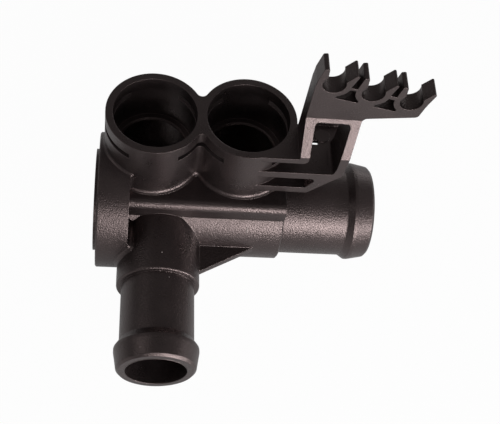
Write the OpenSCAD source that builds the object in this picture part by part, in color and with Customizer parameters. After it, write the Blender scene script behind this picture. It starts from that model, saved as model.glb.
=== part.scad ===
// Coolant flange with a hose stub, a branch stub, two sensor ports and a bracket with three pipe clips.
// One moulding, in millimetres. The main tube runs along X from the centre of the mating face,
// the sensor ports open upwards along Z, and the branch stub points forwards along -Y.

/* [Flange disc] */
// Radius of the flange disc
disc_r = 22.2; // [21.5:0.1:24]
// Thickness of the flange disc
disc_t = 10; // [8:0.1:11]
// Height of the disc's centre above the tube axis
disc_lift = 3.9; // [2:0.1:4]
// Distance of the disc's centre in front of the tube axis
disc_forward = 2.4; // [1:0.1:2.6]
// Chamfer round the disc's front edge
disc_chamfer = 0.4; // [0.2:0.1:0.8]
// Outer radius of the raised ring on the mating face
ring_r = 16.9; // [16:0.1:17]
// Height of the raised ring
ring_h = 1.1; // [0.5:0.1:2]

/* [Body] */
// Outer radius of the body
body_r = 17.25; // [16.9:0.05:17.4]
// Distance from the mating face to the end of the body
body_len = 60.5; // [60:0.5:62]
// Wall of the body
body_wall = 3; // [2.4:0.1:3.4]
// Rise of the deck above the top of the body
deck_rise = 0.8; // [0.2:0.1:1.4]
// Half width of the deck across the body
deck_half = 12.65; // [12:0.05:14]
// Radius of the deck's long edges
deck_edge_r = 2.7; // [1.5:0.1:3.5]

/* [Hose stub] */
// Outer radius of the hose stub
stub_r = 15.2; // [14.8:0.1:15.6]
// Wall of the hose stub
stub_wall = 2.6; // [2.2:0.1:3]
// Distance from the mating face to the end of the stub
stub_end = 91; // [86:0.1:100]
// Height of the bead above the stub
bead_rise = 1.35; // [0.8:0.05:1.8]
// Length of the bead, from its foot to the end of the stub
bead_len = 8.9; // [8:0.1:11]
// Length of the bead's steep shoulder
bead_shoulder = 2.1; // [1.5:0.1:3]
// Fall of the bead's taper towards the end
bead_taper = 1; // [0.6:0.05:1.2]

/* [Branch stub] */
// Distance from the mating face to the branch axis
branch_x = 20.4; // [20:0.1:22]
// Outer radius of the collar
collar_r = 13.3; // [13:0.1:13.8]
// Distance from the tube axis to the collar's shoulder
collar_reach = 32.5; // [30:0.1:35]
// Outer radius of the branch stub
branch_r = 11.7; // [11.2:0.05:12.2]
// Wall of the branch stub
branch_wall = 2.15; // [1.8:0.05:2.6]
// Distance from the tube axis to the end of the branch
branch_reach = 61.2; // [57:0.1:66]
// Height of the branch bead above the stub
branch_bead_rise = 1.6; // [1:0.05:2]
// Length of the branch bead, from its foot to the end of the stub
branch_bead_len = 9.5; // [8.5:0.1:12]
// Length of the branch bead's shoulder
branch_bead_shoulder = 2.4; // [1.6:0.1:3.6]
// Fall of the branch bead's taper towards the end
branch_bead_taper = 0.85; // [0.5:0.05:1.2]
// Thickness of the gusset between the collar and the body
gusset_t = 2.4; // [1.5:0.1:3.5]
// Height of the gusset's upper face above the tube axis
gusset_top = 1.9; // [0.8:0.1:3]
// Length of the gusset along the body, from the collar
gusset_run = 17.6; // [12:0.1:22]
// Distance from the collar's shoulder back to the gusset
gusset_back = 5.7; // [3:0.1:8]

/* [Sensor ports] */
// Distance from the mating face to the first port's axis
port_x = 16.7; // [16.5:0.1:17.5]
// Distance between the two ports' axes
port_pitch = 29; // [28:0.1:29.5]
// Set-back of the ports behind the tube axis
port_back = 7.35; // [6.8:0.05:7.8]
// Outer radius of a port
port_r = 15.3; // [15.2:0.1:15.6]
// Height of the ports above the deck
port_h = 21.9; // [20:0.1:24]
// Bore radius of a port
port_bore_r = 13.05; // [12.7:0.05:13.4]
// Depth of the bore down to the sensor's seat
seat_depth = 17.6; // [16:0.1:18.5]
// Radius of the water passage below the seat
seat_r = 10.7; // [9.5:0.1:11.2]
// Chamfer of the seat's inner edge
seat_chamfer = 0.6; // [0.2:0.1:1]
// Depth of the retaining clip's slot below the rim
slot_depth = 4.3; // [3:0.1:5.5]
// Height of the retaining clip's slot
slot_h = 2; // [1.2:0.1:2.6]
// Half width of the wall left between a port's slots
slot_half = 7.5; // [6:0.1:9]
// Radius of the fillets in the valleys between the ports
valley_r = 1.84; // [1.2:0.02:2.4]
// Radius of the fillet round the foot of each port
foot_r = 0.7; // [0.3:0.1:1]

/* [Bracket] */
// Set-back of the bracket's front face behind the front of the port
front_inset = 0.4; // [0.3:0.05:1]
// Overlap of the bracket's left wall with the port's side
wall_overlap = 0.1; // [0.05:0.05:0.3]
// Thickness of the left wall
wall_t = 2.9; // [2.2:0.1:3.4]
// Thickness of the right wall
right_t = 2.9; // [2.2:0.1:3.6]
// Width of the bracket over its two walls
frame_w = 15.4; // [14:0.1:17]
// Lean of the right wall over the sloping part of the frame
frame_lean = 1.7; // [0.5:0.1:2.5]
// Thickness of the plate that joins the rim to the left wall
plate_t = 2.1; // [1.6:0.1:2.6]
// Distance from the rim's plane down to the shelf's upper face
shelf_drop = 7.4; // [7:0.1:8]
// Thickness of the shelf behind the window
shelf_t = 1.5; // [1.2:0.1:1.9]
// Thickness of the shelf's front rib
shelf_rib_t = 2.9; // [2.2:0.1:3.2]
// Distance from the rim's plane down to the low rib's upper face
low_drop = 15.3; // [14.6:0.1:15.8]
// Thickness of the low rib
low_t = 2.7; // [2:0.1:3]
// Reach of the low rib past the left wall's outer face
low_reach = 5.5; // [4:0.1:6]
// Height of the vertical part of the frame above the rim's plane
bend_low = 1; // [0.2:0.1:2]
// Height of the bend below the clips above the rim's plane
bend_high = 12.6; // [12:0.1:14]
// Set-back of the clips' front behind the bracket's front face
clip_setback = 6.6; // [5:0.1:8]
// Depth of the clips along the pipes
clip_depth = 6; // [5:0.1:8]
// Length of the shelf behind the clips' back
shelf_tail = 6.6; // [5:0.1:9]
// Thickness of the lip along the shelf's back edge
lip_t = 1.5; // [1:0.1:2]
// Height of that lip above the shelf
lip_rise = 2.2; // [1:0.1:4]
// Height of the window's upper edge above the rim's plane
window_top = 11.3; // [10.6:0.1:11.6]
// Width of the slot in the shelf
slit_w = 1.7; // [1.2:0.1:3]
// Length of the slot in the shelf, from the left wall
slit_l = 5.1; // [3:0.1:6]
// Radius of the round pad on the shelf
pad_r = 2.5; // [1.5:0.1:3]

/* [Pipe clips] */
// Bore radius of a pipe clip
clip_r = 3.5; // [3.2:0.05:3.8]
// Wall of a pipe clip
clip_wall = 1.7; // [1.3:0.1:1.8]
// Distance between two clips along their row
clip_pitch = 12.5; // [12.2:0.1:13.2]
// Fall of the clips' row to the right, in degrees
row_angle = 13.5; // [10:0.1:15]
// Height of the first clip's axis above the rim's plane
clip_rise = 28.5; // [27.5:0.1:31]
// Half width of the clips' throat
throat_half = 2.9; // [2.6:0.05:3.2]
// Height of a clip's finger above its axis
finger_h = 6.7; // [5.5:0.1:7.5]
// Width of a finger's tip
finger_w = 1.6; // [1.2:0.1:1.9]
// Width of a clip's flared lip, measured along the row
lip_reach = 6; // [5:0.1:6.4]

/* [Hidden] */
$fn = 96;
cut = 0.5;
moulding = "#2f292b";

deck_z = body_r + deck_rise;
bore_r = body_r - body_wall;
stub_bore_r = stub_r - stub_wall;
branch_bore_r = branch_r - branch_wall;
rim_z = deck_z + port_h;
seat_z = rim_z - seat_depth;
slot_z = rim_z - slot_depth - slot_h;
port2_x = port_x + port_pitch;
port_foot = 4;
well_floor = port_foot + body_wall;
inner_end = body_len - body_wall;

wall_x = port2_x + port_r - wall_overlap;
front_y = port_back - port_r + front_inset;
clip_y = front_y + clip_setback;
back_y = clip_y + clip_depth;
tail_y = back_y + shelf_tail;
shelf_z = rim_z - shelf_drop;
shelf_under = shelf_z - shelf_rib_t;
low_z = rim_z - low_drop;
low_under = low_z - low_t;
right_x = wall_x + frame_w;
bend_x = right_x + frame_lean;
bend_z = rim_z + bend_high;

clip_or = clip_r + clip_wall;
clip_x = wall_x + clip_or + 0.2;
clip_z = rim_z + clip_rise;
clip_count = 3;
row_len = clip_pitch * (clip_count - 1);
bead_land = 1;

function unit(v) = v / norm(v);

// Points of an arc of radius r that rounds the corner at b, between a and c
function corner_arc(a, b, c, r, steps) =
    let (
        u = unit(a - b),
        v = unit(c - b),
        half = acos(u * v) / 2,
        centre = b + unit(u + v) * r / sin(half),
        from = b + u * r / tan(half) - centre,
        to = b + v * r / tan(half) - centre,
        start = atan2(from.y, from.x),
        turn = (atan2(to.y, to.x) - start + 540) % 360 - 180
    )
    [for (i = [0:steps]) centre + r * [cos(start + turn * i / steps), sin(start + turn * i / steps)]];

// An outline whose corners [x, y, r] are rounded to their own radius
function rounded(corners, steps = 5) =
    let (n = len(corners))
    [for (i = [0:n - 1])
        let (
            a = corners[(i + n - 1) % n],
            b = corners[i],
            c = corners[(i + 1) % n]
        )
        each b[2] > 0
            ? corner_arc([a.x, a.y], [b.x, b.y], [c.x, c.y], b[2], steps)
            : [[b.x, b.y]]];

module along_x() {
    rotate([0, 90, 0]) children();
}

module forwards() {
    rotate([90, 0, 0]) children();
}

// Extrudes an outline drawn in X and Z from y0 back to y1
module front_view(y0, y1) {
    translate([0, y1, 0]) forwards() linear_extrude(y1 - y0) children();
}

// Extrudes an outline drawn in Y and Z from x0 to x1
module side_view(x0, x1) {
    translate([x0, 0, 0]) rotate([90, 0, 90]) linear_extrude(x1 - x0) children();
}

module at_ports() {
    for (i = [0:1]) translate([port_x + i * port_pitch, port_back, 0]) children();
}

// A tube's outer form with a hose bead at its end: a shoulder, a short land and a long taper
module beaded_tube(r, end, bead, shoulder, rise, taper) {
    foot = end - bead;
    top = r + rise;
    edge = 0.8;
    rotate_extrude() polygon(rounded([
        [0, 0, 0],
        [r, 0, 0],
        [r, foot, 0.8],
        [top, foot + shoulder, 0.4],
        [top, foot + shoulder + bead_land, 0.4],
        [top - taper, end - edge, 0.5],
        [top - taper - edge, end, 0],
        [0, end, 0]
    ], 3));
}

// The disc, off the tube axis, and the raised ring round the bore on its mating face
module flange_disc() {
    translate([0, -disc_forward, disc_lift]) along_x() rotate_extrude() polygon([
        [0, 0],
        [disc_r - disc_chamfer, 0],
        [disc_r, disc_chamfer],
        [disc_r, disc_t],
        [0, disc_t]
    ]);
    translate([-ring_h, 0, 0]) along_x() cylinder(r = ring_r, h = ring_h + cut);
}

module body_tube() {
    along_x() rotate_extrude() polygon([
        [0, cut],
        [body_r, cut],
        [body_r, body_len - 0.5],
        [body_r - 0.5, body_len],
        [0, body_len]
    ]);
    side_view(disc_t / 2, body_len) polygon(rounded([
        [-deck_half, 0, 0],
        [deck_half, 0, 0],
        [deck_half, deck_z, deck_edge_r],
        [-deck_half, deck_z, deck_edge_r]
    ], 8));
}

module hose_stub() {
    along_x() beaded_tube(stub_r, stub_end, bead_len, bead_shoulder, bead_rise, bead_taper);
}

module branch_stub() {
    translate([branch_x, 0, 0]) forwards() {
        beaded_tube(branch_r, branch_reach, branch_bead_len, branch_bead_shoulder,
                    branch_bead_rise, branch_bead_taper);
        rotate_extrude() polygon(rounded([
            [0, 0, 0],
            [collar_r, 0, 0],
            [collar_r, collar_reach, 0.6],
            [0, collar_reach, 0]
        ], 3));
    }
}

module gusset() {
    root_x = branch_x + collar_r;
    translate([0, 0, gusset_top - gusset_t]) linear_extrude(gusset_t) polygon([
        [branch_x, -body_r + 4],
        [root_x + gusset_run, -body_r + 1],
        [root_x + gusset_run, -body_r - 0.1],
        [root_x, gusset_back - collar_reach],
        [branch_x, gusset_back - collar_reach]
    ]);
}

// The two port towers, with the valleys between them filled to a fillet
module port_towers() {
    fillet_y = sqrt(pow(port_r + valley_r, 2) - pow(port_pitch / 2, 2));
    at_ports() translate([0, 0, port_foot]) cylinder(r = port_r, h = rim_z - port_foot);
    translate([port_x + port_pitch / 2, port_back, bore_r]) linear_extrude(rim_z - bore_r) difference() {
        polygon([
            [-port_pitch / 2, 0],
            [0, -fillet_y],
            [port_pitch / 2, 0],
            [0, fillet_y]
        ]);
        for (side = [-1, 1]) translate([0, side * fillet_y]) circle(r = valley_r);
    }
}

// A concave fillet on the deck round the foot of each port
module port_feet() {
    steps = 5;
    intersection() {
        at_ports() translate([0, 0, deck_z]) rotate_extrude() polygon(concat(
            [[port_r - cut, -cut], [port_r + foot_r, -cut]],
            [for (i = [0:steps])
                let (a = 90 * i / steps)
                [port_r + foot_r - foot_r * sin(a), foot_r - foot_r * cos(a)]],
            [[port_r - cut, foot_r]]
        ));
        translate([disc_t / 2, -deck_half + deck_edge_r / 2, deck_z - 2 * cut])
            cube([body_len - disc_t / 2, 2 * deck_half - deck_edge_r, 4]);
    }
}

module port_bores() {
    at_ports() {
        translate([0, 0, seat_z]) cylinder(r = port_bore_r, h = seat_depth + cut);
        translate([0, 0, seat_z - seat_chamfer])
            cylinder(r1 = seat_r, r2 = seat_r + seat_chamfer, h = seat_chamfer + 0.01);
        translate([0, 0, well_floor]) cylinder(r = seat_r, h = seat_z - well_floor);
    }
}

// Slots across both sides of each port, for the legs of a flat retaining clip
module clip_slots() {
    half = port_r + cut;
    spans = [
        [port_x - half, port_x - slot_half],
        [port_x + slot_half, port2_x - slot_half],
        [port2_x + slot_half, port2_x + half]
    ];
    for (s = spans) translate([s[0], port_back - half, slot_z]) cube([s[1] - s[0], 2 * half, slot_h]);
}

module waterways() {
    translate([-ring_h - cut, 0, 0]) along_x() cylinder(r = bore_r, h = inner_end + ring_h + cut);
    along_x() cylinder(r = stub_bore_r, h = stub_end + cut);
    translate([branch_x, 0, 0]) forwards() cylinder(r = branch_bore_r, h = branch_reach + cut);
}

module at_clips() {
    for (i = [0:clip_count - 1])
        translate([clip_x + i * clip_pitch * cos(row_angle), clip_z - i * clip_pitch * sin(row_angle)])
            children();
}

// Front view of one clip: a ring, an upright finger on its left and a flared lip on its right
module clip_outline() {
    throat_left = -throat_half + 0.5;
    difference() {
        circle(r = clip_or);
        polygon([
            [throat_left, 0],
            [throat_left, 2 * clip_or],
            [3 * clip_or, 2 * clip_or],
            [throat_half + 2 * clip_or, 1.2 + 2 * clip_or],
            [throat_half + 0.3, 1.2],
            [throat_half, 0]
        ]);
    }
    polygon(rounded([
        [throat_left, 2, 0],
        [throat_left - 0.1, finger_h, 0.5],
        [throat_left - finger_w, finger_h - 0.3, 0.4],
        [-clip_or, 0.8, 0],
        [-clip_or + 1, 0, 0]
    ], 3));
    polygon(rounded([
        [throat_half + 0.3, 1.2, 0],
        [lip_reach, lip_reach - 1.4, 0.4],
        [lip_reach + 0.6, lip_reach - 2.2, 0.4],
        [clip_or, -0.5, 0],
        [clip_r + 0.1, 0, 0]
    ], 3));
}

// The opening between two neighbouring rings, in the row's own direction
module pocket_outline() {
    ring = clip_or + 0.1;
    floor_n = -ring - 0.1;
    difference() {
        polygon([
            [2.7, floor_n],
            [clip_pitch - 2.7, floor_n],
            [clip_pitch - 2.7, -0.6],
            [2.7, -0.6]
        ]);
        circle(r = ring);
        translate([clip_pitch, 0]) circle(r = ring);
    }
}

// Front view of the bracket without its openings
module bracket_outline() {
    last_x = clip_x + row_len * cos(row_angle);
    last_z = clip_z - row_len * sin(row_angle);
    polygon(rounded([
        [port2_x, low_under, 0],
        [wall_x + low_reach, low_under, 1],
        [right_x - 3.6, shelf_under - 0.8, 3],
        [right_x - 0.4, shelf_under + 2.4, 2.5],
        [right_x, rim_z + bend_low, 0],
        [bend_x, bend_z - 0.4, 0],
        [bend_x + 0.9, bend_z + 1, 1.2],
        [last_x + 3.8, last_z - 6.9, 1.4],
        [last_x + clip_or, last_z, 0],
        [clip_x, clip_z, 0],
        [clip_x - clip_or, clip_z, 0],
        [wall_x, clip_z - 3, 0],
        [wall_x, rim_z, 0],
        [port2_x, rim_z, 0]
    ]));
    at_clips() clip_outline();
}

module window_outline() {
    inner_left = wall_x + wall_t;
    inner_right = right_x - right_t;
    polygon(rounded([
        [port2_x, shelf_z, 0],
        [inner_right - 0.6, shelf_z, 1.2],
        [inner_right, shelf_z + 3, 1.5],
        [inner_right + 0.1, rim_z + bend_low, 0],
        [inner_right + frame_lean, rim_z + window_top, 1.2],
        [inner_left + 0.2, rim_z + window_top, 1.2],
        [inner_left, rim_z - plate_t, 1.6],
        [port2_x, rim_z - plate_t, 0]
    ]));
}

module low_gap_outline() {
    end_x = wall_x + low_reach;
    polygon(rounded([
        [port2_x, low_z, 0],
        [end_x - 1.3, low_z, 0.6],
        [end_x + 2.1, shelf_under, 1.2],
        [port2_x, shelf_under, 0]
    ]));
}

// Side view of the bracket: upright below, sloping past the window, upright again at the clips
module bracket_side() {
    top = clip_z + finger_h + 2;
    polygon([
        [front_y, low_under - 1],
        [back_y, low_under - 1],
        [back_y, shelf_z - shelf_t],
        [tail_y, shelf_z - shelf_t],
        [tail_y, shelf_z],
        [back_y, shelf_z],
        [back_y, top],
        [clip_y, top],
        [clip_y, bend_z],
        [front_y, rim_z + bend_low]
    ]);
}

module bracket() {
    arm_end = clip_x + row_len + 2 * clip_or;
    difference() {
        intersection() {
            front_view(front_y - 1, tail_y + 1) difference() {
                bracket_outline();
                window_outline();
                low_gap_outline();
                for (i = [0:clip_count - 2])
                    translate([clip_x + i * clip_pitch * cos(row_angle),
                               clip_z - i * clip_pitch * sin(row_angle)])
                        rotate(-row_angle) pocket_outline();
            }
            side_view(port2_x, arm_end) bracket_side();
        }
        translate([0, back_y + 1, 0]) forwards() linear_extrude(clip_depth + 2)
            at_clips() circle(r = clip_r);
        translate([wall_x + wall_t, clip_y + 4.8, shelf_z - shelf_rib_t - cut])
            cube([slit_l, slit_w, shelf_rib_t + 2 * cut]);
    }
    translate([wall_x + 9.4, back_y + pad_r - 0.2, shelf_z - 0.1]) cylinder(r = pad_r, h = 0.45);
    translate([wall_x + wall_t, tail_y - 0.2, shelf_z - shelf_t])
        cube([frame_w - wall_t - 0.6, lip_t + 0.2, shelf_t + lip_rise]);
}

module flange() {
    color(moulding) difference() {
        union() {
            flange_disc();
            body_tube();
            hose_stub();
            branch_stub();
            gusset();
            port_towers();
            port_feet();
            bracket();
        }
        waterways();
        port_bores();
        clip_slots();
    }
}

flange();
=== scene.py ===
"""Dresses the coolant flange: satin moulded plastic, a pale floor and soft studio light."""

import logging
import math
from dataclasses import dataclass, field
from enum import Enum

import bmesh
import bpy
from mathutils import Matrix, Vector


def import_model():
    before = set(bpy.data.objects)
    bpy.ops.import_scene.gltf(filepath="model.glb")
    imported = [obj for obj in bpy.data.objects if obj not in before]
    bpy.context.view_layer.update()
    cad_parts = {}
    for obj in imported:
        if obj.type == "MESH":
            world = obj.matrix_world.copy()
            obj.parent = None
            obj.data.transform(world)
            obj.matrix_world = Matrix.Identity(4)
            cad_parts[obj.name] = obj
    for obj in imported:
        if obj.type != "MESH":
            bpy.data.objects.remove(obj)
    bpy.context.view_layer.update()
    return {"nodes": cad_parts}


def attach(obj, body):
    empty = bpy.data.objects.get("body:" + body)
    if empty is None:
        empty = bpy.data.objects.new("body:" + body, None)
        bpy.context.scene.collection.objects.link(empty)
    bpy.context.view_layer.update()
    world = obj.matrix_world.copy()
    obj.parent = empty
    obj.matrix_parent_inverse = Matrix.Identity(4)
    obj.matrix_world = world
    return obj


LOG = logging.getLogger("coolant_flange")
MM = 0.001


class Slot(Enum):
    """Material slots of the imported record."""

    MOULDING = "moulding"


def nodes_of(material: bpy.types.Material) -> tuple[bpy.types.Nodes, bpy.types.NodeLinks]:
    """Clears a material's tree and returns its nodes and links."""
    material.use_nodes = True
    tree = material.node_tree
    tree.nodes.clear()
    return tree.nodes, tree.links


@dataclass(frozen=True)
class SatinPlastic:
    """Finely textured black-brown glass-filled moulding.

    Lengths are in metres, colours are linear.
    """

    name: str = "satin_plastic"
    deep: tuple[float, float, float, float] = (0.0075, 0.0058, 0.0058, 1.0)
    pale: tuple[float, float, float, float] = (0.0165, 0.0125, 0.0126, 1.0)
    tint: tuple[float, float, float, float] = (1.0, 0.78, 0.76, 1.0)
    roughness_low: float = 0.26
    roughness_high: float = 0.36
    specular: float = 0.95
    edge_radius: float = 0.3 * MM
    grain_size: float = 0.42 * MM
    cloud_size: float = 9 * MM
    grain_depth: float = 0.12 * MM

    def build(self) -> bpy.types.Material:
        """Builds the node material.

        Returns:
            The finished material.
        """
        material = bpy.data.materials.new(self.name)
        nodes, links = nodes_of(material)
        out = nodes.new("ShaderNodeOutputMaterial")
        bsdf = nodes.new("ShaderNodeBsdfPrincipled")
        bsdf.inputs["Specular IOR Level"].default_value = self.specular
        bsdf.inputs["Specular Tint"].default_value = self.tint
        links.new(bsdf.outputs["BSDF"], out.inputs["Surface"])

        place = nodes.new("ShaderNodeTexCoord")
        clouds = nodes.new("ShaderNodeTexNoise")
        clouds.inputs["Scale"].default_value = 1.0 / self.cloud_size
        clouds.inputs["Detail"].default_value = 5.0
        clouds.inputs["Roughness"].default_value = 0.6
        grain = nodes.new("ShaderNodeTexNoise")
        grain.inputs["Scale"].default_value = 1.0 / self.grain_size
        grain.inputs["Detail"].default_value = 2.0
        for texture in (clouds, grain):
            links.new(place.outputs["Object"], texture.inputs["Vector"])

        blend = nodes.new("ShaderNodeMix")
        blend.data_type = "FLOAT"
        blend.inputs["Factor"].default_value = 0.35
        links.new(clouds.outputs["Fac"], blend.inputs["A"])
        links.new(grain.outputs["Fac"], blend.inputs["B"])

        colour = nodes.new("ShaderNodeValToRGB")
        colour.color_ramp.elements[0].position = 0.35
        colour.color_ramp.elements[0].color = self.deep
        colour.color_ramp.elements[1].position = 0.68
        colour.color_ramp.elements[1].color = self.pale
        links.new(blend.outputs["Result"], colour.inputs["Fac"])
        links.new(colour.outputs["Color"], bsdf.inputs["Base Color"])

        rough = nodes.new("ShaderNodeMapRange")
        rough.inputs["From Min"].default_value = 0.35
        rough.inputs["From Max"].default_value = 0.65
        rough.inputs["To Min"].default_value = self.roughness_low
        rough.inputs["To Max"].default_value = self.roughness_high
        links.new(blend.outputs["Result"], rough.inputs["Value"])
        links.new(rough.outputs["Result"], bsdf.inputs["Roughness"])

        edges = nodes.new("ShaderNodeBevel")
        edges.samples = 8
        edges.inputs["Radius"].default_value = self.edge_radius
        bump = nodes.new("ShaderNodeBump")
        bump.inputs["Strength"].default_value = 1.0
        bump.inputs["Distance"].default_value = self.grain_depth
        links.new(grain.outputs["Fac"], bump.inputs["Height"])
        links.new(edges.outputs["Normal"], bump.inputs["Normal"])
        links.new(bump.outputs["Normal"], bsdf.inputs["Normal"])
        return material


def arc(first: Vector, second: Vector, t: float) -> Vector:
    """Turns from one unit vector to another by a share t of the angle between them."""
    whole = first.angle(second)
    return (math.sin((1 - t) * whole) * first + math.sin(t * whole) * second) / math.sin(whole)


def lofted(name: str, sections: list[list[Vector]], material: bpy.types.Material) -> bpy.types.Object:
    """Lofts sections into one closed mesh.

    Args:
        name: The piece's name.
        sections: The sections in order. Each ends in its point inside the moulding.
        material: The piece's finish.

    Returns:
        The finished piece, smooth on the arc and flat on its hidden sides.
    """
    ring = len(sections[0])
    last = (len(sections) - 1) * ring
    points = [point for section in sections for point in section]
    faces: list[tuple[int, ...]] = []
    smooth: list[bool] = []
    for i in range(0, last, ring):
        for j in range(ring):
            faces.append((i + j, i + (j + 1) % ring, i + ring + (j + 1) % ring, i + ring + j))
            smooth.append(j < ring - 2)
    for end in (0, last):
        faces += [(end + ring - 1, end + j + 1, end + j) for j in range(ring - 2)]
        smooth += [False] * (ring - 2)
    mesh = bpy.data.meshes.new(name)
    mesh.from_pydata(points, [], faces)
    shape = bmesh.new()
    shape.from_mesh(mesh)
    bmesh.ops.recalc_face_normals(shape, faces=shape.faces)
    shape.to_mesh(mesh)
    shape.free()
    mesh.polygons.foreach_set("use_smooth", smooth)
    mesh.materials.append(material)
    piece = bpy.data.objects.new(name, mesh)
    bpy.context.scene.collection.objects.link(piece)
    return piece


@dataclass
class RolledFillet:
    """A concave fillet rolled by a ball between the disc's rim and a tube that stands on it.

    The tube's own frame has its axis along Z. Sizes are in metres and match the solids.
    """

    name: str
    tube_x: float
    tube_y: float
    tube_r: float
    centre_y: float
    centre_z: float
    radius: float
    foot: float
    both_ends: bool = False
    disc_r: float = 22.2 * MM
    disc_t: float = 10 * MM
    sink: float = 0.03 * MM
    arc_steps: int = 7
    rim_steps: int = 40

    def turn_over_edge(self, over: float) -> float:
        """The turn round the tube at which the ball has turned over the disc's back edge."""
        reach = self.tube_r + self.radius - self.sink
        x = self.disc_t - self.sink + self.radius * math.sin(over)
        return math.acos((x - self.tube_x) / reach)

    def stops(self) -> list[tuple[float, float, float | None]]:
        """The ball's stops.

        Returns:
            For each stop, its turn round the tube, its turn over the edge, and its height if fixed.
        """
        quarter = math.pi / 2
        start = self.turn_over_edge(0)
        rise = [(self.turn_over_edge(quarter), quarter, self.foot)]
        rise += [(self.turn_over_edge(quarter * i / 6), quarter * i / 6, None) for i in range(6, 0, -1)]
        if self.both_ends:
            end = 2 * math.pi - start
            fall = [(2 * math.pi - turn, over, z) for turn, over, z in reversed(rise)]
        else:
            end = math.pi + math.asin((self.disc_r + self.centre_y - self.tube_y) / (self.tube_r + self.radius))
            fall = []
        steps = self.rim_steps
        rim = [(start + (end - start) * i / steps, 0.0, None) for i in range(steps + 1)]
        return rise + rim + fall

    def section(self, turn: float, over: float, height: float | None) -> list[Vector]:
        """The fillet's section at one stop.

        Args:
            turn: The turn round the tube, in radians.
            over: The turn over the disc's back edge, in radians.
            height: The ball's height, or None where the rim sets it.

        Returns:
            The points from the disc to the tube, then one inside both.
        """
        mirror = 1 if self.both_ends else -1
        reach = self.tube_r + self.radius - self.sink
        x = self.tube_x + reach * math.cos(turn)
        y = self.tube_y + mirror * reach * math.sin(turn)
        rise = self.disc_r + self.radius * math.cos(over) - self.sink
        side = (y - self.centre_y) / rise
        up = math.sqrt(1 - side * side)
        z = self.centre_z + rise * up if height is None else height
        ball = Vector((x, y, z))
        to_disc = Vector((-math.sin(over), -math.cos(over) * side, -math.cos(over) * up))
        to_tube = Vector((-math.cos(turn), -mirror * math.sin(turn), 0))
        half = to_disc.angle(to_tube) / 2
        points = [ball + self.radius * arc(to_disc, to_tube, i / self.arc_steps) for i in range(self.arc_steps + 1)]
        return points + [ball + (to_disc + to_tube).normalized() * (self.radius / math.cos(half) + 0.4 * MM)]

    def build(self, turn: Matrix, material: bpy.types.Material) -> bpy.types.Object:
        """Lofts the sections into one closed mesh.

        Args:
            turn: From the tube's frame to the part's frame.
            material: The moulding's finish.

        Returns:
            The fillet.
        """
        sections = [[turn @ point for point in self.section(*stop)] for stop in self.stops()]
        return lofted(self.name, sections, material)


@dataclass
class PortFeet:
    """The concave radius on the deck, round both ports' feet and through the valley between them."""

    port_x: float = 16.7 * MM
    pitch: float = 29 * MM
    port_y: float = 7.35 * MM
    port_r: float = 15.3 * MM
    valley_r: float = 1.84 * MM
    deck_z: float = 18.05 * MM
    radius: float = 1.15 * MM
    sink: float = 0.02 * MM
    root: float = 0.4 * MM
    disc_end: float = -30.0
    deck_end: float = 61.0
    arc_steps: int = 8
    steps: int = 36

    def profile(self) -> list[tuple[float, float]]:
        """The fillet's section: its way out from the wall and its height, then a point inside."""
        points = []
        for i in range(self.arc_steps + 1):
            lean = math.pi / 2 * i / self.arc_steps
            points.append((self.radius * (1 - math.sin(lean)) - self.sink,
                           self.deck_z + self.radius * (1 - math.cos(lean)) - self.sink))
        return points + [(-self.root, self.deck_z - self.root)]

    def build(self, material: bpy.types.Material) -> bpy.types.Object:
        """Lofts the fillet along the feet's outline."""
        half = self.pitch / 2
        reach = self.port_r + self.valley_r
        meet = math.degrees(math.asin(half / reach))
        valley_y = self.port_y - math.sqrt(reach ** 2 - half ** 2)
        runs = ((self.port_x, self.port_y, self.port_r, self.disc_end, meet),
                (self.port_x + half, valley_y, -self.valley_r, meet, -meet),
                (self.port_x + self.pitch, self.port_y, self.port_r, -meet, self.deck_end))
        sections = []
        for centre_x, centre_y, radius, start, end in runs:
            for i in range(1 if sections else 0, self.steps + 1):
                turn = math.radians(start + (end - start) * i / self.steps)
                sections.append([Vector((centre_x + (radius + out) * math.sin(turn),
                                         centre_y - (radius + out) * math.cos(turn), z))
                                 for out, z in self.profile()])
        return lofted("port_foot_fillet", sections, material)


def geometry_tree(name: str, inputs: dict[str, str]) -> tuple[bpy.types.GeometryNodeTree, dict[str, str]]:
    """Starts a geometry tree.

    Args:
        name: The tree's name.
        inputs: Socket types by input name.

    Returns:
        The tree, and the inputs' socket identifiers by name.
    """
    tree = bpy.data.node_groups.new(name, "GeometryNodeTree")
    tree.interface.new_socket("Geometry", in_out="INPUT", socket_type="NodeSocketGeometry")
    tree.interface.new_socket("Geometry", in_out="OUTPUT", socket_type="NodeSocketGeometry")
    sockets = {key: tree.interface.new_socket(key, in_out="INPUT", socket_type=kind).identifier
               for key, kind in inputs.items()}
    return tree, sockets


def finish_tree(tree: bpy.types.GeometryNodeTree, result: bpy.types.NodeSocket,
                material: bpy.types.Material) -> None:
    """Ends a geometry tree in Realize Instances and Set Material."""
    real = tree.nodes.new("GeometryNodeRealizeInstances")
    paint = tree.nodes.new("GeometryNodeSetMaterial")
    paint.inputs["Material"].default_value = material
    out = tree.nodes.new("NodeGroupOutput")
    tree.links.new(result, real.inputs["Geometry"])
    tree.links.new(real.outputs["Geometry"], paint.inputs["Geometry"])
    tree.links.new(paint.outputs["Geometry"], out.inputs["Geometry"])


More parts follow.
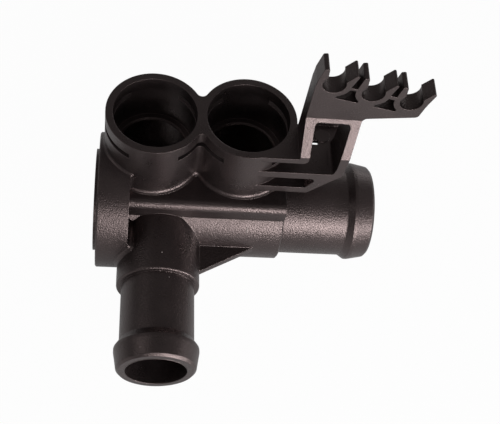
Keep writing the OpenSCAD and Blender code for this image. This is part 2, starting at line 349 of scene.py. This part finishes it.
def grown(name: str, points: list[Vector], edges: list[tuple[int, int]], tree: bpy.types.GeometryNodeTree,
          values: dict[str, float], material: bpy.types.Material) -> bpy.types.Object:
    """Grows a plain mesh from guide points through a geometry tree.

    Args:
        name: The piece's name.
        points: The guide's points.
        edges: The guide's edges.
        tree: The geometry tree.
        values: Input values by socket identifier.
        material: The piece's finish.

    Returns:
        The finished piece, without its modifier.
    """
    guide = bpy.data.meshes.new(name + "_guide")
    guide.from_pydata(points, edges, [])
    holder = bpy.data.objects.new(name + "_guide", guide)
    bpy.context.scene.collection.objects.link(holder)
    modifier = holder.modifiers.new("grow", "NODES")
    modifier.node_group = tree
    for socket, value in values.items():
        modifier[socket] = value
    graph = bpy.context.evaluated_depsgraph_get()
    mesh = bpy.data.meshes.new_from_object(holder.evaluated_get(graph), depsgraph=graph)
    bpy.data.objects.remove(holder)
    mesh.name = name
    if material.name not in mesh.materials:
        mesh.materials.append(material)
    piece = bpy.data.objects.new(name, mesh)
    bpy.context.scene.collection.objects.link(piece)
    return piece


def swept(name: str, paths: list[list[Vector]], radius: float, material: bpy.types.Material) -> bpy.types.Object:
    """Sweeps a round section along lines.

    Args:
        name: The piece's name.
        paths: The lines' points. A line that ends in its first point is closed.
        radius: The section's radius, in metres.
        material: The piece's finish.

    Returns:
        The finished piece.
    """
    tree, sockets = geometry_tree(name, {"Radius": "NodeSocketFloat"})
    start = tree.nodes.new("NodeGroupInput")
    line = tree.nodes.new("GeometryNodeMeshToCurve")
    profile = tree.nodes.new("GeometryNodeCurvePrimitiveCircle")
    profile.inputs["Resolution"].default_value = 12
    sweep = tree.nodes.new("GeometryNodeCurveToMesh")
    sweep.inputs["Fill Caps"].default_value = True
    tree.links.new(start.outputs["Geometry"], line.inputs["Mesh"])
    tree.links.new(start.outputs["Radius"], profile.inputs["Radius"])
    tree.links.new(line.outputs["Curve"], sweep.inputs["Curve"])
    tree.links.new(profile.outputs["Curve"], sweep.inputs["Profile Curve"])
    finish_tree(tree, sweep.outputs["Mesh"], material)
    points, edges = [], []
    for path in paths:
        first = len(points)
        closed = path[0] == path[-1]
        points += path[:-1] if closed else path
        edges += [(i, i + 1) for i in range(first, len(points) - 1)]
        if closed:
            edges.append((len(points) - 1, first))
    return grown(name, points, edges, tree, {sockets["Radius"]: radius}, material)


@dataclass
class JointBeads:
    """The thin radiused lines along the gusset: its joints with sleeve and collar, and its free edge."""

    radius: float = 0.28 * MM
    top: float = 1.9 * MM
    thickness: float = 2.4 * MM
    sleeve_r: float = 17.25 * MM
    collar_r: float = 13.3 * MM
    root_x: float = 20.4 * MM
    run: float = 17.6 * MM
    collar_end: float = 26.8 * MM
    inset: float = 0.2 * MM

    def paths(self) -> list[list[Vector]]:
        """The lines on both faces of the gusset."""
        lines = []
        middle = self.top - self.thickness / 2
        for z in (self.top, self.top - self.thickness):
            side = self.root_x + math.sqrt(self.collar_r ** 2 - z ** 2)
            back = -math.sqrt(self.sleeve_r ** 2 - z ** 2)
            toe = self.root_x + self.collar_r + self.run
            lines.append([Vector((side, -self.collar_end + 0.3 * MM, z)), Vector((side, back, z)),
                          Vector((toe - 0.6 * MM, back, z))])
            near = Vector((side, -self.collar_end, z))
            far = Vector((toe, back, z))
            along = (far - near).normalized()
            inward = Vector((-along.y, along.x, 0)) * self.inset
            inward.z = math.copysign(self.inset, middle - z)
            lines.append([near + inward + along * self.inset, far + inward - along * 0.6 * MM])
        return lines

    def build(self, material: bpy.types.Material) -> bpy.types.Object:
        """Sweeps the bead along every line."""
        return swept("gusset_joint_beads", self.paths(), self.radius, material)


@dataclass
class BoreLip:
    """The thin rounded lip round the branch's mouth."""

    bore_r: float = 9.6 * MM
    end_y: float = -61.2 * MM
    centre_x: float = 20.4 * MM
    radius: float = 0.2 * MM
    proud: float = 0.08 * MM
    steps: int = 72

    def build(self, material: bpy.types.Material) -> bpy.types.Object:
        """Sweeps the lip round the mouth, a little proud of the end face."""
        ring = self.bore_r + self.radius * 0.7
        middle = self.end_y + self.radius - self.proud
        path = [Vector((self.centre_x + ring * math.cos(turn), middle, ring * math.sin(turn)))
                for turn in (math.tau * i / self.steps for i in range(self.steps))]
        return swept("branch_bore_lip", [path + path[:1]], self.radius, material)


@dataclass
class MouldFlecks:
    """The few pale specks and the short rub on the moulding, where the photograph shows them."""

    size: float = 0.15 * MM
    seed: int = 7
    spots: tuple[tuple[float, float, float], ...] = (
        (20.88, -26.7, 13.29), (23.3, -34.38, 11.33), (15.0, -58.32, 11.56))
    rub_x: float = 48.6
    rub_r: float = 17.27
    rub_from: float = 28.0
    rub_to: float = 35.0
    rub_steps: int = 14

    def points(self) -> list[Vector]:
        """The specks, then the rub across the sleeve, in metres."""
        rub = []
        for i in range(self.rub_steps + 1):
            turn = math.radians(self.rub_from + (self.rub_to - self.rub_from) * i / self.rub_steps)
            rub.append((self.rub_x, -self.rub_r * math.cos(turn), self.rub_r * math.sin(turn)))
        return [Vector(place) * MM for place in self.spots + tuple(rub)]

    def build(self, material: bpy.types.Material) -> bpy.types.Object:
        """Sets a small flattened grain on every spot."""
        tree, sockets = geometry_tree("mould_flecks", {"Size": "NodeSocketFloat", "Seed": "NodeSocketInt"})
        start = tree.nodes.new("NodeGroupInput")
        grain = tree.nodes.new("GeometryNodeMeshIcoSphere")
        grain.inputs["Subdivisions"].default_value = 2
        vary = tree.nodes.new("FunctionNodeRandomValue")
        vary.inputs[2].default_value = 0.7
        vary.inputs[3].default_value = 1.3
        place = tree.nodes.new("GeometryNodeInstanceOnPoints")
        tree.links.new(start.outputs["Size"], grain.inputs["Radius"])
        tree.links.new(start.outputs["Seed"], vary.inputs["Seed"])
        tree.links.new(start.outputs["Geometry"], place.inputs["Points"])
        tree.links.new(grain.outputs["Mesh"], place.inputs["Instance"])
        tree.links.new(vary.outputs[1], place.inputs["Scale"])
        finish_tree(tree, place.outputs["Instances"], material)
        values = {sockets["Size"]: self.size, sockets["Seed"]: self.seed}
        return grown("mould_flecks", self.points(), [], tree, values, material)


@dataclass
class LipEnd:
    """The rounded end of the lip along the bracket shelf's back edge."""

    start: float = 75.5 * MM
    reach: float = 1.4 * MM
    front: float = 11.6 * MM
    back: float = 13.0 * MM
    low: float = 31.2 * MM
    high: float = 34.6 * MM
    steps: int = 12

    def build(self, material: bpy.types.Material) -> bpy.types.Object:
        """Builds the closed end with its half-round nose."""
        nose = (self.back - self.front) / 2
        middle = (self.front + self.back) / 2
        plan = [(self.start, self.back), (self.start, self.front)]
        for i in range(self.steps + 1):
            turn = math.pi * (i / self.steps - 0.5)
            plan.append((self.start + self.reach - nose + nose * math.cos(turn), middle + nose * math.sin(turn)))
        count = len(plan)
        points = [(x, y, z) for z in (self.low, self.high) for x, y in plan]
        faces = [tuple(reversed(range(count))), tuple(range(count, 2 * count))]
        faces += [(i, (i + 1) % count, count + (i + 1) % count, count + i) for i in range(count)]
        mesh = bpy.data.meshes.new("shelf_lip_end")
        mesh.from_pydata(points, [], faces)
        mesh.materials.append(material)
        piece = bpy.data.objects.new("shelf_lip_end", mesh)
        bpy.context.scene.collection.objects.link(piece)
        return piece


@dataclass
class Moulding:
    """The whole moulding: the CAD node with its finish, and its small radii and flecks."""

    node: str = "flange"
    finish: SatinPlastic = field(default_factory=SatinPlastic)
    rubbed: SatinPlastic = SatinPlastic("rubbed_plastic", (0.2, 0.17, 0.16, 1.0), (0.5, 0.44, 0.42, 1.0))

    def dress(self, nodes: dict[str, bpy.types.Object]) -> list[bpy.types.Object]:
        """Gives the CAD node its finish and adds the small pieces.

        Args:
            nodes: The CAD nodes by name.

        Returns:
            The dressed node and the added pieces.
        """
        material = self.finish.build()
        piece = nodes[self.node]
        piece.data.materials.clear()
        piece.data.materials.append(material)
        port = RolledFillet("port_fillet", 16.7 * MM, 7.35 * MM, 15.3 * MM, -2.4 * MM, 3.9 * MM, 1.0 * MM, 17.5 * MM)
        collar = RolledFillet("collar_fillet", 20.4 * MM, 0, 13.3 * MM, 3.9 * MM, 2.4 * MM, 1.5 * MM, 12 * MM,
                              both_ends=True)
        added = [port.build(Matrix.Identity(4), material),
                 collar.build(Matrix.Rotation(math.pi / 2, 4, "X"), material),
                 PortFeet().build(material), JointBeads().build(material), BoreLip().build(material),
                 LipEnd().build(material),
                 MouldFlecks().build(self.rubbed.build())]
        for extra in added:
            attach(extra, "root")
        return [piece] + added


def backdrop_share(nodes: bpy.types.Nodes, links: bpy.types.NodeLinks, camera: float,
                   glossy: float) -> bpy.types.NodeSocket:
    """Weighs how much of the white backdrop each kind of ray sees.

    Args:
        nodes: The nodes of the floor or the world.
        links: Their links.
        camera: The share for the camera and for rays through a surface.
        glossy: The share for reflections.

    Returns:
        The socket that holds the share.
    """
    rays = nodes.new("ShaderNodeLightPath")
    direct = nodes.new("ShaderNodeMath")
    direct.operation = "MAXIMUM"
    links.new(rays.outputs["Is Camera Ray"], direct.inputs[0])
    links.new(rays.outputs["Is Transmission Ray"], direct.inputs[1])
    mirrored = nodes.new("ShaderNodeMath")
    mirrored.operation = "MULTIPLY"
    mirrored.inputs[1].default_value = glossy
    links.new(rays.outputs["Is Glossy Ray"], mirrored.inputs[0])
    share = nodes.new("ShaderNodeMath")
    share.operation = "MULTIPLY_ADD"
    share.inputs[1].default_value = camera
    links.new(direct.outputs[0], share.inputs[0])
    links.new(mirrored.outputs[0], share.inputs[2])
    return share.outputs[0]


@dataclass
class Studio:
    """Pale floor, soft lamps and a plain world."""

    floor_z: float = -18.4 * MM
    floor_half: float = 3.0
    floor_seen: float = 0.97
    floor_mirrored: float = 0.22
    world_grey: float = 0.125
    world_mirrored: float = 0.06
    aim: tuple[float, float, float] = (0.045, 0.0, 0.01)

    def lay_floor(self) -> bpy.types.Object:
        """Lays the floor under the object."""
        half = self.floor_half
        mesh = bpy.data.meshes.new("studio_floor")
        corners = [(x, y, self.floor_z) for x, y in ((-half, -half), (half, -half), (half, half), (-half, half))]
        mesh.from_pydata(corners, [], [(0, 1, 2, 3)])
        floor = bpy.data.objects.new("studio_floor", mesh)
        bpy.context.scene.collection.objects.link(floor)
        material = bpy.data.materials.new("pale_floor")
        nodes, links = nodes_of(material)
        out = nodes.new("ShaderNodeOutputMaterial")
        matt = nodes.new("ShaderNodeBsdfDiffuse")
        matt.inputs["Color"].default_value = (0.8, 0.8, 0.8, 1)
        glow = nodes.new("ShaderNodeEmission")
        glow.inputs["Color"].default_value = (1, 1, 1, 1)
        glow.inputs["Strength"].default_value = 1.0
        mix = nodes.new("ShaderNodeMixShader")
        links.new(backdrop_share(nodes, links, self.floor_seen, self.floor_mirrored), mix.inputs["Fac"])
        links.new(matt.outputs[0], mix.inputs[1])
        links.new(glow.outputs[0], mix.inputs[2])
        links.new(mix.outputs[0], out.inputs["Surface"])
        mesh.materials.append(material)
        return floor

    def hang_lamp(self, name: str, azimuth: float, elevation: float, reach: float, size: tuple[float, float],
                  power: float) -> bpy.types.Object:
        """Hangs one soft lamp that faces the object.

        Args:
            name: The lamp's name.
            azimuth: Its turn from the front towards +X, in degrees.
            elevation: Its height over the object's middle, in degrees.
            reach: Its distance from the object's middle, in metres.
            size: Its width and height, in metres.
            power: Its power, in watts.

        Returns:
            The lamp.
        """
        lamp = bpy.data.lights.new(name, "AREA")
        lamp.shape = "RECTANGLE"
        lamp.size, lamp.size_y = size
        lamp.energy = power
        holder = bpy.data.objects.new(name, lamp)
        az, el = math.radians(azimuth), math.radians(elevation)
        way = Vector((math.sin(az) * math.cos(el), -math.cos(az) * math.cos(el), math.sin(el)))
        holder.location = Vector(self.aim) + reach * way
        holder.rotation_euler = (-way).to_track_quat("-Z", "Y").to_euler()
        bpy.context.scene.collection.objects.link(holder)
        return holder

    def light_world(self) -> None:
        """Makes a dim even world that is white behind the object."""
        world = bpy.data.worlds.new("studio")
        world.use_nodes = True
        tree = world.node_tree
        colour = tree.nodes.new("ShaderNodeMix")
        colour.data_type = "RGBA"
        colour.inputs["A"].default_value = (self.world_grey, self.world_grey, self.world_grey, 1)
        colour.inputs["B"].default_value = (1, 1, 1, 1)
        share = backdrop_share(tree.nodes, tree.links, 1.0, self.world_mirrored)
        tree.links.new(share, colour.inputs["Factor"])
        tree.links.new(colour.outputs["Result"], tree.nodes["Background"].inputs["Color"])
        bpy.context.scene.world = world

    def build(self) -> None:
        """Sets the world, the floor and the lamps."""
        self.light_world()
        self.lay_floor()
        self.hang_lamp("key_lamp", 20, 8, 0.4, (0.14, 0.07), 0.82)
        self.hang_lamp("front_lamp", 10, 25, 1.2, (0.9, 0.3), 5.0)
        self.hang_lamp("side_lamp", 55, 2, 1.2, (0.4, 0.2), 8.0)
        self.hang_lamp("left_lamp", -90, 45, 1.2, (0.5, 0.5), 0.8)
        self.hang_lamp("back_lamp", 150, 12, 1.2, (0.8, 0.4), 1.2)
        self.hang_lamp("right_lamp", 85, 12, 1.2, (0.4, 0.2), 1.0)


@dataclass
class PhotoCamera:
    """The camera at the photograph's place, from the fit to its edges."""

    place: tuple[float, float, float] = (6.65 * MM, -183.04 * MM, 289.95 * MM)
    azimuth: float = -13.82
    elevation: float = 57.29
    roll: float = 14.34
    lens: float = 73.03

    def build(self) -> bpy.types.Object:
        """Places the camera and makes it the scene's own.

        Returns:
            The camera.
        """
        az, el, roll = (math.radians(a) for a in (self.azimuth, self.elevation, self.roll))
        back = Vector((math.sin(az) * math.cos(el), -math.cos(az) * math.cos(el), math.sin(el)))
        level = Vector((math.cos(az), math.sin(az), 0))
        rise = back.cross(level)
        right = level * math.cos(roll) + rise * math.sin(roll)
        up = back.cross(right)
        turn = Matrix((right, up, back)).transposed()
        lens = bpy.data.cameras.new("photo_camera")
        lens.lens = self.lens
        lens.sensor_width = 36
        lens.clip_start = 0.01
        camera = bpy.data.objects.new("photo_camera", lens)
        camera.matrix_world = Matrix.Translation(self.place) @ turn.to_4x4()
        bpy.context.scene.collection.objects.link(camera)
        bpy.context.scene.camera = camera
        return camera


def main() -> None:
    """Builds the classes in order and reports each piece."""
    logging.basicConfig(level=logging.INFO, format="%(message)s")
    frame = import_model()
    scene = bpy.context.scene
    scene.view_settings.view_transform = "Standard"
    PhotoCamera().build()
    Studio().build()
    for piece in Moulding().dress(frame["nodes"]):
        LOG.info("built %s", piece.name)


if __name__ == "__main__":
    main()
